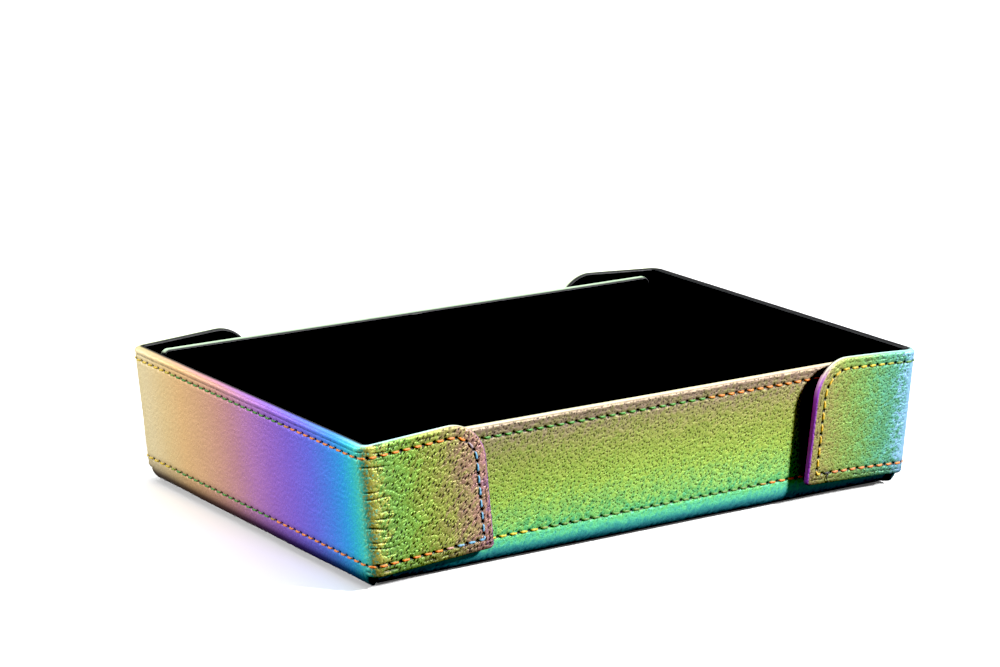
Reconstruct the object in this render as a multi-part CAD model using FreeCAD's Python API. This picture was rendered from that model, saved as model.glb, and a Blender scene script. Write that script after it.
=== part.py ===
import FreeCAD, Part
import math
import os

# Folding dice tray: boards covered with leatherette outside and velvet inside, hinged on soft folds.
#
# Millimetres, degrees. The origin is the middle of the underside, +X runs along the tray, +Z is up.
# Two end walls lean outward and carry a tab at each end, which wraps the corner and lies on the outside
# of the long wall. Each wall, fold and tab is drawn once, for the +X and +Y side, and mirrored.

# Whole tray
LENGTH = 250.0  # over the outer faces of the end walls, at the rim
WIDTH = 170.0  # over the outer faces of the tabs
END_HEIGHT = 53.0
LONG_HEIGHT = 52.0
LEAN = 6.0  # end walls, outward from the vertical

# Layers, from the outer face inward
PANEL = 4.0  # the whole thickness of the base, a wall or a tab
LEATHER = 1.0
VELVET = 0.8

# Folds
BASE_FOLD_R = 7.0  # outer radius, base to wall
CORNER_FOLD_R = 4.8  # outer radius, end wall to tab
NOTCH = 0.8  # cut-out between the long fold and the end fold at a corner of the base

# Walls and tabs
TAB_GAP = 0.8  # between a tab's lining and the long wall behind it
LONG_HALF = 115.2  # half the length of a long wall
WALL_CORNER_R = 3.0
TAB_LENGTH = 50.5  # from the corner to the free end
TAB_FOOT = 5.3  # lower edge of a tab, measured up the end wall
TAB_TAPER = 2.5  # upper and lower edges of a tab, down towards its free end
TAB_TOP_R = 14.5
TAB_FOOT_R = 2.0

# Stitching: a thread in a groove of the outer face
STITCH_MARGIN = 4.3
LONG_FOOT_MARGIN = 3.3  # from a long wall's fold to its lower row
THREAD_WIDTH = 0.9
THREAD_DEPTH = 0.45
THREAD_PROUD = 0.1

# Disc magnets that hold a tab on the long wall
MAGNET_R = 4.0
MAGNET_THICKNESS = 1.6
MAGNET_INSET = 13.0  # from the tab's free end
MAGNET_HEIGHT = 34.0  # up the tab

X, Y, Z = FreeCAD.Vector(1, 0, 0), FreeCAD.Vector(0, 1, 0), FreeCAD.Vector(0, 0, 1)
ORIGIN = FreeCAD.Vector(0, 0, 0)
SIDES = {"left": -1, "right": 1}
FRONTS = {"front": -1, "back": 1}

# Worked-out positions
LEAN_RAD = math.radians(LEAN)
END_FOOT = LENGTH / 2 - END_HEIGHT * math.tan(LEAN_RAD)  # the end wall's outer face at the floor
END_TANGENT = BASE_FOLD_R * math.tan(math.radians(90 - LEAN) / 2)
END_TOP = END_HEIGHT / math.cos(LEAN_RAD)
LONG_FACE = WIDTH / 2 - PANEL - TAB_GAP
BASE_HALF_X = END_FOOT - END_TANGENT
BASE_HALF_Y = LONG_FACE - BASE_FOLD_R
END_HALF = WIDTH / 2 - CORNER_FOLD_R


def frame(origin, across, up):
    """Axes of a panel: x across it, y up it, z out of its outer face."""
    out = across.cross(up)
    return FreeCAD.Placement(origin, FreeCAD.Rotation(across, up, out, "ZXY"))


UP_END = FreeCAD.Vector(math.sin(LEAN_RAD), 0, math.cos(LEAN_RAD))
OUT_END = Y.cross(UP_END)
BASE = frame(ORIGIN, Y, X)
LONG = frame(Y * LONG_FACE, -X, Z)
END = frame(X * END_FOOT, Y, UP_END)
TAB = frame(X * END_FOOT + Y * (WIDTH / 2), -OUT_END, UP_END)


def placed(shape, placement):
    return shape.transformed(placement.toMatrix(), True)


def mirrored(shape, side=1, front=1):
    """The shape drawn for +X, +Y, moved to the side and front wanted (1 or -1)."""
    if side < 0:
        shape = shape.mirror(ORIGIN, X)
    if front < 0:
        shape = shape.mirror(ORIGIN, Y)
    return shape


def rounded_face(corners):
    """A flat face from (x, y, radius) corners in order; a radius of 0 leaves the corner sharp."""
    edges = []
    starts, ends = [], []
    for i, (x, y, radius) in enumerate(corners):
        here = FreeCAD.Vector(x, y, 0)
        before = FreeCAD.Vector(*corners[i - 1][:2], 0)
        after = FreeCAD.Vector(*corners[(i + 1) % len(corners)][:2], 0)
        back, on = (before - here).normalize(), (after - here).normalize()
        if radius == 0:
            starts.append(here)
            ends.append(here)
            continue
        half = back.getAngle(on) / 2
        start = here + back * (radius / math.tan(half))
        end = here + on * (radius / math.tan(half))
        middle = here + (back + on).normalize() * (radius / math.sin(half) - radius)
        edges.append(Part.Arc(start, middle, end).toShape())
        starts.append(start)
        ends.append(end)
    for i, end in enumerate(ends):
        edges.append(Part.makeLine(end, starts[(i + 1) % len(starts)]))
    return Part.Face(Part.Wire(Part.__sortEdges__(edges)))


def slab(face, near, far):
    """The face given thickness between two depths below the outer face."""
    moved = face.copy()
    moved.translate(Z * -far)
    return moved.extrude(Z * (far - near))


def band(radius_out, radius_in, start, end, low, high):
    """Part of a tube about the z axis: angles in degrees, and the span along z."""
    def point(radius, angle):
        return FreeCAD.Vector(radius * math.cos(angle), radius * math.sin(angle), low)

    first, last = math.radians(start), math.radians(end)
    middle = (first + last) / 2
    edges = [
        Part.Arc(point(radius_out, first), point(radius_out, middle), point(radius_out, last)).toShape(),
        Part.makeLine(point(radius_out, last), point(radius_in, last)),
        Part.Arc(point(radius_in, last), point(radius_in, middle), point(radius_in, first)).toShape(),
        Part.makeLine(point(radius_in, first), point(radius_out, first)),
    ]
    return Part.Face(Part.Wire(edges)).extrude(Z * (high - low))


# --- outlines in a panel's own axes, each pulled in by `inset` from its free edges ---


def rectangle(half, low, high, top_radius=0):
    return rounded_face([(-half, low, 0), (half, low, 0), (half, high, top_radius), (-half, high, top_radius)])


def base_outline():
    return rectangle(BASE_HALF_Y, -BASE_HALF_X, BASE_HALF_X)


def long_outline(inset=0.0, foot=0.0):
    radius = max(WALL_CORNER_R - inset, 0)
    return rectangle(LONG_HALF - inset, BASE_FOLD_R + foot, LONG_HEIGHT - inset, radius)


def end_outline(inset=0.0):
    high = END_TOP - inset
    return rectangle(END_HALF, END_TANGENT, high)


def tab_outline(inset=0.0):
    near, far = CORNER_FOLD_R, TAB_LENGTH - inset
    drop_near, drop_far = (x * math.tan(math.radians(TAB_TAPER)) for x in (near, far))
    low, high = TAB_FOOT + inset, END_TOP - inset
    foot_radius = max(TAB_FOOT_R - inset, 0)
    return rounded_face([
        (near, low - drop_near, 0),
        (far, low - drop_far, foot_radius),
        (far, high - drop_far, TAB_TOP_R - inset),
        (near, high - drop_near, 0),
    ])


# --- pieces ---


def layers(outline):
    """Cover with turned edges, stiffener and lining, as three solids in the panel's own axes."""
    inner = outline(LEATHER)
    cover = slab(outline(), 0, PANEL).cut(slab(inner, LEATHER, PANEL))
    stiffener = slab(inner, LEATHER, PANEL - VELVET)
    lining = slab(inner, PANEL - VELVET, PANEL)
    return cover, stiffener, lining


def thread_between(outer, inner):
    return slab(outer, -THREAD_PROUD, THREAD_DEPTH).cut(slab(inner, -THREAD_PROUD, THREAD_DEPTH))


def end_thread():
    """Two rows across the end wall, in line with the rows on its tabs."""
    rows = []
    for middle in (TAB_FOOT + STITCH_MARGIN, END_TOP - STITCH_MARGIN):
        row = rectangle(END_HALF, middle - THREAD_WIDTH / 2, middle + THREAD_WIDTH / 2)
        rows.append(slab(row, -THREAD_PROUD, THREAD_DEPTH))
    return Part.makeCompound(rows)


def magnet(centre, near):
    return Part.makeCylinder(MAGNET_R, MAGNET_THICKNESS, centre - Z * (near + MAGNET_THICKNESS), Z)


def tab_magnet_centre():
    return FreeCAD.Vector(TAB_LENGTH - MAGNET_INSET, MAGNET_HEIGHT, 0)


def base_nodes():
    outline = base_outline()
    return {
        "base_cover": placed(slab(outline, 0, LEATHER), BASE),
        "base_board": placed(slab(outline, LEATHER, PANEL - VELVET), BASE),
        "base_lining": placed(slab(outline, PANEL - VELVET, PANEL), BASE),
    }


def long_wall_nodes():
    cover, board, lining = layers(long_outline)
    outer = long_outline(STITCH_MARGIN - THREAD_WIDTH / 2, LONG_FOOT_MARGIN - THREAD_WIDTH / 2)
    inner = long_outline(STITCH_MARGIN + THREAD_WIDTH / 2, LONG_FOOT_MARGIN + THREAD_WIDTH / 2)
    thread = thread_between(outer, inner)
    over_tab = LONG.inverse().multVec(TAB.multVec(tab_magnet_centre()))
    centres = [FreeCAD.Vector(x, over_tab.y, 0) for x in (-over_tab.x, over_tab.x)]
    magnets = Part.makeCompound([magnet(centre, LEATHER) for centre in centres])
    pieces = {
        "cover": cover.cut(thread),
        "board": board.cut(magnets),
        "lining": lining,
        "thread": thread,
        "magnets": magnets,
    }
    return {
        f"{name}_wall_{piece}": mirrored(placed(shape, LONG), front=front)
        for name, front in FRONTS.items()
        for piece, shape in pieces.items()
    }


def end_wall_nodes():
    cover, board, lining = layers(end_outline)
    thread = end_thread()
    pieces = {"cover": cover.cut(thread), "board": board, "lining": lining, "thread": thread}
    return {
        f"{name}_wall_{piece}": mirrored(placed(shape, END), side=side)
        for name, side in SIDES.items()
        for piece, shape in pieces.items()
    }


def tab_nodes():
    cover, filler, lining = layers(tab_outline)
    outer = tab_outline(STITCH_MARGIN - THREAD_WIDTH / 2)
    inner = tab_outline(STITCH_MARGIN + THREAD_WIDTH / 2)
    thread = thread_between(outer, inner)
    disc = magnet(tab_magnet_centre(), PANEL - VELVET - MAGNET_THICKNESS)
    pieces = {
        "cover": cover.cut(thread),
        "filler": filler.cut(disc),
        "lining": lining,
        "thread": thread,
        "magnet": disc,
    }
    return {
        f"{front_name}_{side_name}_tab_{piece}": mirrored(placed(shape, TAB), side, front)
        for front_name, front in FRONTS.items()
        for side_name, side in SIDES.items()
        for piece, shape in pieces.items()
    }


def fold_layers(radius, start, end, low, high):
    """Leatherette and velvet strips of a fold, bent about the z axis."""
    inner = radius - PANEL
    leather = band(radius, radius - LEATHER, start, end, low, high)
    velvet = band(inner + VELVET, inner, start, end, low, high)
    return {"leather": leather, "velvet": velvet}


def widening(shape, at_floor, at_wall):
    """Cut a strip's ends so that its half length grows from the floor to the wall's foot."""
    low, high = shape.BoundBox.YMin, 0.0
    outline = Part.makePolygon([
        FreeCAD.Vector(0, low, -at_floor),
        FreeCAD.Vector(0, high, -at_wall),
        FreeCAD.Vector(0, high, at_wall),
        FreeCAD.Vector(0, low, at_floor),
        FreeCAD.Vector(0, low, -at_floor),
    ])
    return shape.common(Part.Face(outline).extrude(X * BASE_FOLD_R))


def base_fold_nodes():
    """The four folds of the base, drawn about z with x outward and y up, then turned into place."""
    long_fold = frame(Y * BASE_HALF_Y + Z * BASE_FOLD_R, Y, Z)
    end_fold = frame(X * BASE_HALF_X + Z * BASE_FOLD_R, X, Z)
    nodes = {}
    for piece, shape in fold_layers(BASE_FOLD_R, -90, 0, -LONG_HALF, LONG_HALF).items():
        strip = placed(widening(shape, BASE_HALF_X - NOTCH, LONG_HALF), long_fold)
        for name, front in FRONTS.items():
            nodes[f"{name}_fold_{piece}"] = mirrored(strip, front=front)
    for piece, shape in fold_layers(BASE_FOLD_R, -90, -LEAN, -END_HALF, END_HALF).items():
        strip = placed(widening(shape, BASE_HALF_Y - NOTCH, END_HALF), end_fold)
        for name, side in SIDES.items():
            nodes[f"{name}_fold_{piece}"] = mirrored(strip, side=side)
    return nodes


def corner_fold_nodes():
    """The folds between the end walls and the tabs, along the lean of the end wall."""
    centre = TAB.multVec(FreeCAD.Vector(CORNER_FOLD_R, 0, -CORNER_FOLD_R))
    corner = frame(centre, OUT_END, Y)
    nodes = {}
    for piece, shape in fold_layers(CORNER_FOLD_R, 0, 90, TAB_FOOT, END_TOP).items():
        for front_name, front in FRONTS.items():
            for side_name, side in SIDES.items():
                strip = mirrored(placed(shape, corner), side, front)
                nodes[f"{front_name}_{side_name}_corner_{piece}"] = strip
    return nodes


def main():
    os.makedirs("parts", exist_ok=True)
    for make in (base_nodes, long_wall_nodes, end_wall_nodes, tab_nodes, base_fold_nodes, corner_fold_nodes):
        for name, shape in make().items():
            shape.exportStep(f"parts/{name}.step")


main()
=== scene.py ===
import math

import bpy
import numpy as np
from mathutils import Matrix, Vector
from mathutils.kdtree import KDTree


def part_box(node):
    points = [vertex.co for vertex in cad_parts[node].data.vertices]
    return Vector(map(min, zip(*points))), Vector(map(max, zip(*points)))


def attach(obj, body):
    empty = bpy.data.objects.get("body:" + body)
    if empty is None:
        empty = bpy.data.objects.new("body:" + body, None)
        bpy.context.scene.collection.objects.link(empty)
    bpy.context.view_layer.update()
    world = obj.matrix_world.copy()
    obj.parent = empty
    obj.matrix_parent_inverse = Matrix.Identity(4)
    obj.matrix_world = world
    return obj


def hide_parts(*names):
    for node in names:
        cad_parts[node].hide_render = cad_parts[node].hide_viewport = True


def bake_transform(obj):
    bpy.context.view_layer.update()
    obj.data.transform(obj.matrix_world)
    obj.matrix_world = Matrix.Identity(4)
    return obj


# Folding dice tray: grained leatherette outside, black velvet inside, stitched rows, soft folds.
#
# Lengths are millimetres until a mesh is made. Each sheet is drawn on the tray's flat pattern, which is the
# tray opened out on a table: X along the tray and Y across it, from the middle of the base. A side's place
# function takes a point of the pattern, and a depth below the outer face, to where it is on the folded tray.

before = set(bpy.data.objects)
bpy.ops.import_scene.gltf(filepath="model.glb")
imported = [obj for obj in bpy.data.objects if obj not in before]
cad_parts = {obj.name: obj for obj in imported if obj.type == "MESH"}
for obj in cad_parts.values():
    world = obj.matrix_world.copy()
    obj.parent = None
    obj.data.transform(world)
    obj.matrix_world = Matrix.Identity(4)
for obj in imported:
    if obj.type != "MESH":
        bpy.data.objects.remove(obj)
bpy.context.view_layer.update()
MM = 0.001


def box_mm(node):
    low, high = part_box(node)
    return np.array(low) / MM, np.array(high) / MM


# Sizes, from the CAD nodes where a node's box gives them
HALF_X, HALF_Y = box_mm("base_cover")[1][:2]
LONG_HALF, LONG_FACE, LONG_TOP = box_mm("back_wall_cover")[1]
_, END_HALF, RIM_Z = box_mm("right_wall_cover")[1]
TAB_FACE = box_mm("back_right_tab_cover")[1][1]
PANEL, LEATHER, VELVET = 4.0, 1.0, 0.8
LEAN = math.radians(6)
TAPER = math.tan(math.radians(2.5))
FOLD_R = LONG_FACE - HALF_Y
CORNER_R = TAB_FACE - END_HALF
END_ARC = math.pi / 2 - LEAN
END_TANGENT = FOLD_R * math.tan(END_ARC / 2)
END_FOOT = HALF_X + END_TANGENT
END_TOP = RIM_Z / math.cos(LEAN)
LONG_START = HALF_Y + FOLD_R * math.pi / 2
LONG_END = LONG_START + LONG_TOP - FOLD_R
LONG_TOP_R = 3
END_START = HALF_X + FOLD_R * END_ARC
END_END = END_START + END_TOP - END_TANGENT
CORNER_LENGTH = CORNER_R * math.pi / 2
TAB_FOOT, TAB_LENGTH, TAB_TOP_R, TAB_FOOT_R = 5.3, 50.5, 14.5, 2.0
TAB_END = CORNER_LENGTH + TAB_LENGTH - CORNER_R
FLAT_LENGTH, PINCH_WIDTH, MOST_PINCH = 8, 5.0, 0.48
LOOSE_TAB_FLARE, TAB_FLARE = 3.2, 0.3
LONG_FLOOR_HALF, END_FLOOR_HALF = HALF_X - 0.2, HALF_Y - 0.2
MAGNET_AT, MAGNET_R, MAGNET_DEPTHS = (CORNER_LENGTH + 37.5 - CORNER_R, 34.0), 4.0, (1.6, 3.2)
STITCH_MARGIN, LONG_FOOT_MARGIN, PITCH = 4.3, 3.3, 4.5

# Turned edges: offset outward from the start of the rounding, and depth below the outer face
EDGE_R = 1.2
EDGE_ANGLES = np.radians([15, 30, 45, 60, 75, 90])
HEM = [(EDGE_R * math.sin(a), EDGE_R * (1 - math.cos(a))) for a in EDGE_ANGLES]
HEM += [(1.2, 1.9), (1.2, 3.0), (1.08, 3.7), (0.75, 4.0), (0.42, 4.0), (0.25, 3.85), (0.25, LEATHER)]
VELVET_EDGE = [(0.14, 3.96), (0.28, 3.84), (0.35, 3.65), (0.35, PANEL - VELVET)]
FELT_IN, FELT_FACE, FELT_BACK = LEATHER + 0.65, 1.02, 3.18
FELT_EDGE = [(0.35, 1.12), (0.6, 1.5), (0.6, 2.7), (0.35, 3.08), (0.0, FELT_BACK)]


# --- the tray's sides ---


class Side:
    """A side of the tray: place() folds a point of its sheet, flat() finds it on the pattern."""

    def __init__(self, place, flat, turned):
        self.place, self.flat, self.turned = place, flat, turned


def folded(v, d, edge, arc):
    """How far out and how high v is, at depth d, on a panel that folds up by arc from the base's edge."""
    angle = np.clip((v - edge) / FOLD_R, 0, arc)
    past = np.maximum(v - edge - FOLD_R * arc, 0)
    out = np.minimum(v, edge) + (FOLD_R - d) * np.sin(angle) + past * math.cos(arc)
    up = FOLD_R - (FOLD_R - d) * np.cos(angle) + past * math.sin(arc)
    return out, up


def long_side(front):
    def place(u, v, d):
        y, z = folded(v, d, HALF_Y, math.pi / 2)
        return np.stack([u, front * y, z], -1)

    return Side(place, lambda u, v: (u, front * v), front > 0)


def end_side(side):
    def place(u, v, d):
        x, z = folded(v, d, HALF_X, END_ARC)
        return np.stack([side * x, u, z], -1)

    return Side(place, lambda u, v: (side * v, u), side < 0)


def flare(past, up, amount):
    """How far a tab stands off the wall: it curls out towards its free end, most at the top."""
    along = np.clip((past - FLAT_LENGTH) / (TAB_LENGTH - FLAT_LENGTH), 0, 1)
    return amount * along**1.6 * (0.8 + 0.25 * up / END_TOP)


def tab_edge_distance(u, v):
    """Distance in from a tab's free outline."""
    centre_u, centre_v = TAB_END - TAB_TOP_R, END_TOP - TAB_TOP_R
    straight = np.minimum(np.minimum(END_TOP - v, v - TAB_FOOT), TAB_END - u)
    curved = TAB_TOP_R - np.hypot(u - centre_u, v - centre_v)
    return np.where((u > centre_u) & (v > centre_v), curved, straight)


def pinched(u, v, d):
    """Depth d where the layers of a tab are sewn together at its edges, and thinner."""
    share = np.clip(1 - tab_edge_distance(u, v) / PINCH_WIDTH, 0, 1) ** 1.3 * np.clip(u / CORNER_LENGTH, 0, 1)
    return np.where(d > 1, 1 + (d - 1) * (1 - MOST_PINCH * share), d)


def tab_side(side, front, amount):
    """u runs from the end wall's edge round the corner and along the tab, v up the end wall's face."""

    def place(u, v, d):
        d = pinched(u, v, d)
        angle = np.clip(u / CORNER_R, 0, math.pi / 2)
        past = np.maximum(u - CORNER_LENGTH, 0)
        across = angle / (math.pi / 2) * CORNER_R + past
        up = v - across * TAPER
        inward = (CORNER_R - d) * np.cos(angle) - CORNER_R - past
        y = END_HALF + np.minimum(u, 0) + (CORNER_R - d) * np.sin(angle) + flare(past, up, amount)
        x = END_FOOT + up * math.sin(LEAN) + inward * math.cos(LEAN)
        z = up * math.cos(LEAN) - inward * math.sin(LEAN)
        return np.stack([side * x, front * y, z], -1)

    def flat(u, v):
        return side * (END_START + v - END_TANGENT), front * (END_HALF + u)

    return Side(place, flat, side * front < 0)


def base_side():
    return Side(lambda u, v, d: np.stack([u, v, d], -1), lambda u, v: (u, v), True)


def widened(side, at_floor, at_wall, start, reach):
    """The side with u stretched: as wide as the floor at a fold's start, and as the wall past its reach."""

    def stretch(u, v):
        return u * (1 + (at_wall / at_floor - 1) * smooth_step(v - start, *reach))

    def place(u, v, d):
        return side.place(stretch(u, v), v, d)

    def flat(u, v):
        return side.flat(stretch(u, v), v)

    return Side(place, flat, side.turned)


# --- repeatable noise, in cells of size 1 ---


def scattered(i, j, seed):
    """Two random numbers from 0 to 1 for each cell, the same on each run."""
    n = (i.astype(np.int64) * 374761393 + j.astype(np.int64) * 668265263 + seed * 97463) & 0xFFFFFFFF
    n = ((n ^ (n >> 13)) * 1274126177) & 0xFFFFFFFF
    n = n ^ (n >> 16)
    return (n & 0xFFFF) / 65535.0, (n >> 16) / 65535.0


def rolling(x, y, seed):
    """Smooth noise from -1 to 1."""
    i, j = np.floor(x), np.floor(y)
    a, b = x - i, y - j
    a, b = a * a * (3 - 2 * a), b * b * (3 - 2 * b)
    at = [[scattered(i + m, j + n, seed)[0] for n in (0, 1)] for m in (0, 1)]
    low = at[0][0] * (1 - b) + at[0][1] * b
    high = at[1][0] * (1 - b) + at[1][1] * b
    return 2 * (low * (1 - a) + high * a) - 1


def pebbles(x, y, seed):
    """Distances to the nearest and the second nearest of points scattered one to a cell."""
    near, second = np.full(x.shape, 9.0), np.full(x.shape, 9.0)
    i, j = np.floor(x), np.floor(y)
    for m in (-1, 0, 1):
        for n in (-1, 0, 1):
            a, b = scattered(i + m, j + n, seed)
            distance = np.hypot(i + m + a - x, j + n + b - y)
            second = np.minimum(second, np.maximum(near, distance))
            near = np.minimum(near, distance)
    return near, second


# --- the leatherette's grain ---

# Cell size, lengthening, direction on the pattern in degrees, crease depth, crease width as a share of a cell
GRAINS = {
    "long": (1.0, 2.3, -52, 0.2, 0.2),
    "end": (0.7, 3.2, 0, 0.12, 0.3),
    "left_tab": (1.1, 2.5, 38, 0.24, 0.17),
    "right_tab": (1.1, 1.8, 38, 0.15, 0.2),
}


def grain(kind, x, y):
    """Height of the grain: 0 on a pebble's top, down to -1 in the creases."""
    size, lengthening, direction, _, width = GRAINS[kind]
    a = x + 0.4 * rolling(x / 2.3, y / 2.3, 5)
    b = y + 0.4 * rolling(x / 2.3, y / 2.3, 6)
    c, s = math.cos(math.radians(direction)), math.sin(math.radians(direction))
    near, second = pebbles((c * a + s * b) / (size * lengthening), (c * b - s * a) / size, 11)
    strength = 0.78 + 0.22 * rolling(x / 6, y / 6, 8)
    return -bell(second - near, width) * strength - 0.12 * near


def wrinkles(x, y):
    """Sharp level creases where the sheet is squeezed round a corner; they run along Y and come and go."""
    rows = x / 2.7 + 0.5 * rolling(x / 6, y / 7, 21)
    nearest_row = np.round(rows)
    shown = smooth_step(rolling(nearest_row * 7.3, y / 7, 22), -0.3, 0.3)
    return -bell(rows - nearest_row, 0.12) * shown


def smooth_step(value, low, high):
    t = np.clip((value - low) / (high - low), 0, 1)
    return t * t * (3 - 2 * t)


def bell(value, width, power=2):
    return np.exp(-((value / width) ** power))


def grained(relief, y):
    """Where a sheet has its full grain: not on the rolls and end walls, which are nearly smooth."""
    if relief is long_relief:
        return 0.15 + 0.85 * smooth_step(np.abs(y), LONG_START - 3, LONG_START + 9)
    return smooth_step(np.abs(y) - END_HALF, 4.0, 11.0)


def long_relief(x, y):
    """The roll under a long wall is nearly smooth, and the grain grows up the wall."""
    return GRAINS["long"][3] * grained(long_relief, y) * grain("long", x, y)


def end_relief(x, y):
    """End wall, corners and tabs, from the fine streaks of the wall to the pebbles of the tabs."""
    past = np.abs(y) - END_HALF
    kind = "left_tab" if x[0] < 0 else "right_tab"
    on_tab = smooth_step(past, 1.0, CORNER_LENGTH)
    streaks = GRAINS["end"][3] * grain("end", x, y)
    cells = GRAINS[kind][3] * grain(kind, x, y)
    squeezed = smooth_step(past, 1.5, 5) * (1 - smooth_step(past, 9, 16))
    depth = 0.4 if kind == "left_tab" else 0.08
    return streaks * (1 - on_tab) + cells * on_tab + depth * squeezed * wrinkles(x, y)


# --- sheets ---


class Sheet:
    """A grid on a rectangle of the pattern, with rounded corners, turned round its free sides and closed."""

    def __init__(self, u_span, v_span, step, free="", radii=(), profile=HEM, face=0.0, back=LEATHER):
        self.face, self.back, self.profile = face, back, profile
        self.nu = max(2, round((u_span[1] - u_span[0]) / step) + 1)
        self.nv = max(2, round((v_span[1] - v_span[0]) / step) + 1)
        self.sides = {"left": (-1, 0), "right": (1, 0), "bottom": (0, -1), "top": (0, 1)}
        self.free = free.split()
        self.u, self.v = (g.ravel() for g in np.meshgrid(
            np.linspace(*u_span, self.nu), np.linspace(*v_span, self.nv)))
        self.rim = self.rim_indices()
        self.lean_u, self.lean_v = self.outward()
        for corner, radius in zip(("bottom left", "bottom right", "top right", "top left"), radii):
            self.round_corner(corner, radius, u_span, v_span)
        self.add_rings()

    def rim_indices(self):
        """The grid's border, anticlockwise from its bottom left corner."""
        index = np.arange(self.nu * self.nv).reshape(self.nv, self.nu)
        return np.concatenate([index[0], index[1:, -1], index[-1, -2::-1], index[-2:0:-1, 0]])

    def outward(self):
        """For each border point, the direction out of the free side that it is on, or nothing."""
        row, column = self.rim // self.nu, self.rim % self.nu
        on = {"left": column == 0, "right": column == self.nu - 1}
        on |= {"bottom": row == 0, "top": row == self.nv - 1}
        lean = np.zeros((len(self.rim), 2))
        for name in self.free:
            lean[on[name]] += self.sides[name]
        length = np.maximum(np.hypot(*lean.T), 1e-9)
        return lean[:, 0] / length, lean[:, 1] / length

    def round_corner(self, corner, radius, u_span, v_span):
        if radius <= 0:
            return
        row, column = corner.split()
        a, b = self.sides[column][0], self.sides[row][1]
        u0 = (u_span[0] if a < 0 else u_span[1]) - a * radius
        v0 = (v_span[0] if b < 0 else v_span[1]) - b * radius
        p = np.clip((self.u - u0) * a / radius, 0, 1)
        q = np.clip((self.v - v0) * b / radius, 0, 1)
        inside = (p > 0) & (q > 0)
        self.u[inside] = (u0 + a * radius * p * np.sqrt(1 - q * q / 2))[inside]
        self.v[inside] = (v0 + b * radius * q * np.sqrt(1 - p * p / 2))[inside]
        curved = inside[self.rim]
        self.lean_u[curved] = (self.u[self.rim] - u0)[curved] / radius
        self.lean_v[curved] = (self.v[self.rim] - v0)[curved] / radius

    def add_rings(self):
        """Rings of points from the border to the back, and how far each has gone round the edge."""
        count, n = len(self.profile), len(self.rim)
        free = np.hypot(self.lean_u, self.lean_v) > 0.5
        u, v = self.u[self.rim], self.v[self.rim]
        us, vs, ds, travels = [self.u], [self.v], [np.full(len(self.u), self.face)], [np.zeros(len(self.u))]
        travel, before = 0.0, (0.0, self.face)
        for k, (offset, depth) in enumerate(self.profile):
            travel += math.dist(before, (offset, depth))
            before = (offset, depth)
            straight = self.face + (self.back - self.face) * (0.3 + 0.7 * (k + 1) / count)
            us.append(u + self.lean_u * offset)
            vs.append(v + self.lean_v * offset)
            ds.append(np.where(free, depth, straight))
            travels.append(np.where(free, travel, 99.0))
        self.u, self.v, self.d, self.travel = (np.concatenate(a) for a in (us, vs, ds, travels))
        self.grid_points, self.ring_points, self.rings = self.nu * self.nv, n, count
        self.free_rim = self.rim[free]
        reach = np.where(self.travel > 90, 0, self.travel)
        offsets = np.concatenate([np.zeros(self.grid_points), *[np.full(n, o) for o, _ in self.profile]])
        extra = reach - offsets
        lean_u = np.concatenate([np.zeros(self.grid_points), np.tile(self.lean_u, count)])
        lean_v = np.concatenate([np.zeros(self.grid_points), np.tile(self.lean_v, count)])
        self.flat_u, self.flat_v = self.u + lean_u * extra, self.v + lean_v * extra
        self.upward, self.sideways = np.maximum(lean_v, 0), np.abs(lean_u)

    def add_back_grid(self, deepen=None):
        """Points of the inner side, for a sheet that is bent or has a pocket."""
        inside = np.setdiff1d(np.arange(self.grid_points), self.rim)
        depth = np.full(len(inside), self.back)
        if deepen is not None:
            depth = deepen(self.u[inside], self.v[inside], depth)
        start = len(self.u)
        self.inner = np.empty(self.grid_points, int)
        self.inner[inside] = start + np.arange(len(inside))
        self.inner[self.rim] = start - self.ring_points + np.arange(self.ring_points)
        for name in ("u", "v", "flat_u", "flat_v", "upward", "sideways"):
            values = getattr(self, name)
            setattr(self, name, np.concatenate([values, values[inside]]))
        self.d = np.concatenate([self.d, depth])
        self.travel = np.concatenate([self.travel, np.full(len(inside), 99.0)])

    def faces(self):
        """Quads of the grid, the rings and a bent back, and the one flat face that closes the others."""
        index = np.arange(self.grid_points).reshape(self.nv, self.nu)

        def squares(g):
            return np.stack([g[:-1, :-1], g[:-1, 1:], g[1:, 1:], g[1:, :-1]], -1).reshape(-1, 4)

        quads = [squares(index)]
        ring = self.rim
        for k in range(self.rings):
            following = self.grid_points + k * self.ring_points + np.arange(self.ring_points)
            quads.append(np.stack([ring, following, np.roll(following, -1), np.roll(ring, -1)], -1))
            ring = following
        if hasattr(self, "inner"):
            quads.append(squares(self.inner.reshape(self.nv, self.nu))[:, ::-1])
            return np.concatenate(quads), []
        return np.concatenate(quads), [ring[::-1]]


def add_object(name, data):
    thing = bpy.data.objects.new(name, data)
    bpy.context.scene.collection.objects.link(thing)
    return thing


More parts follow.
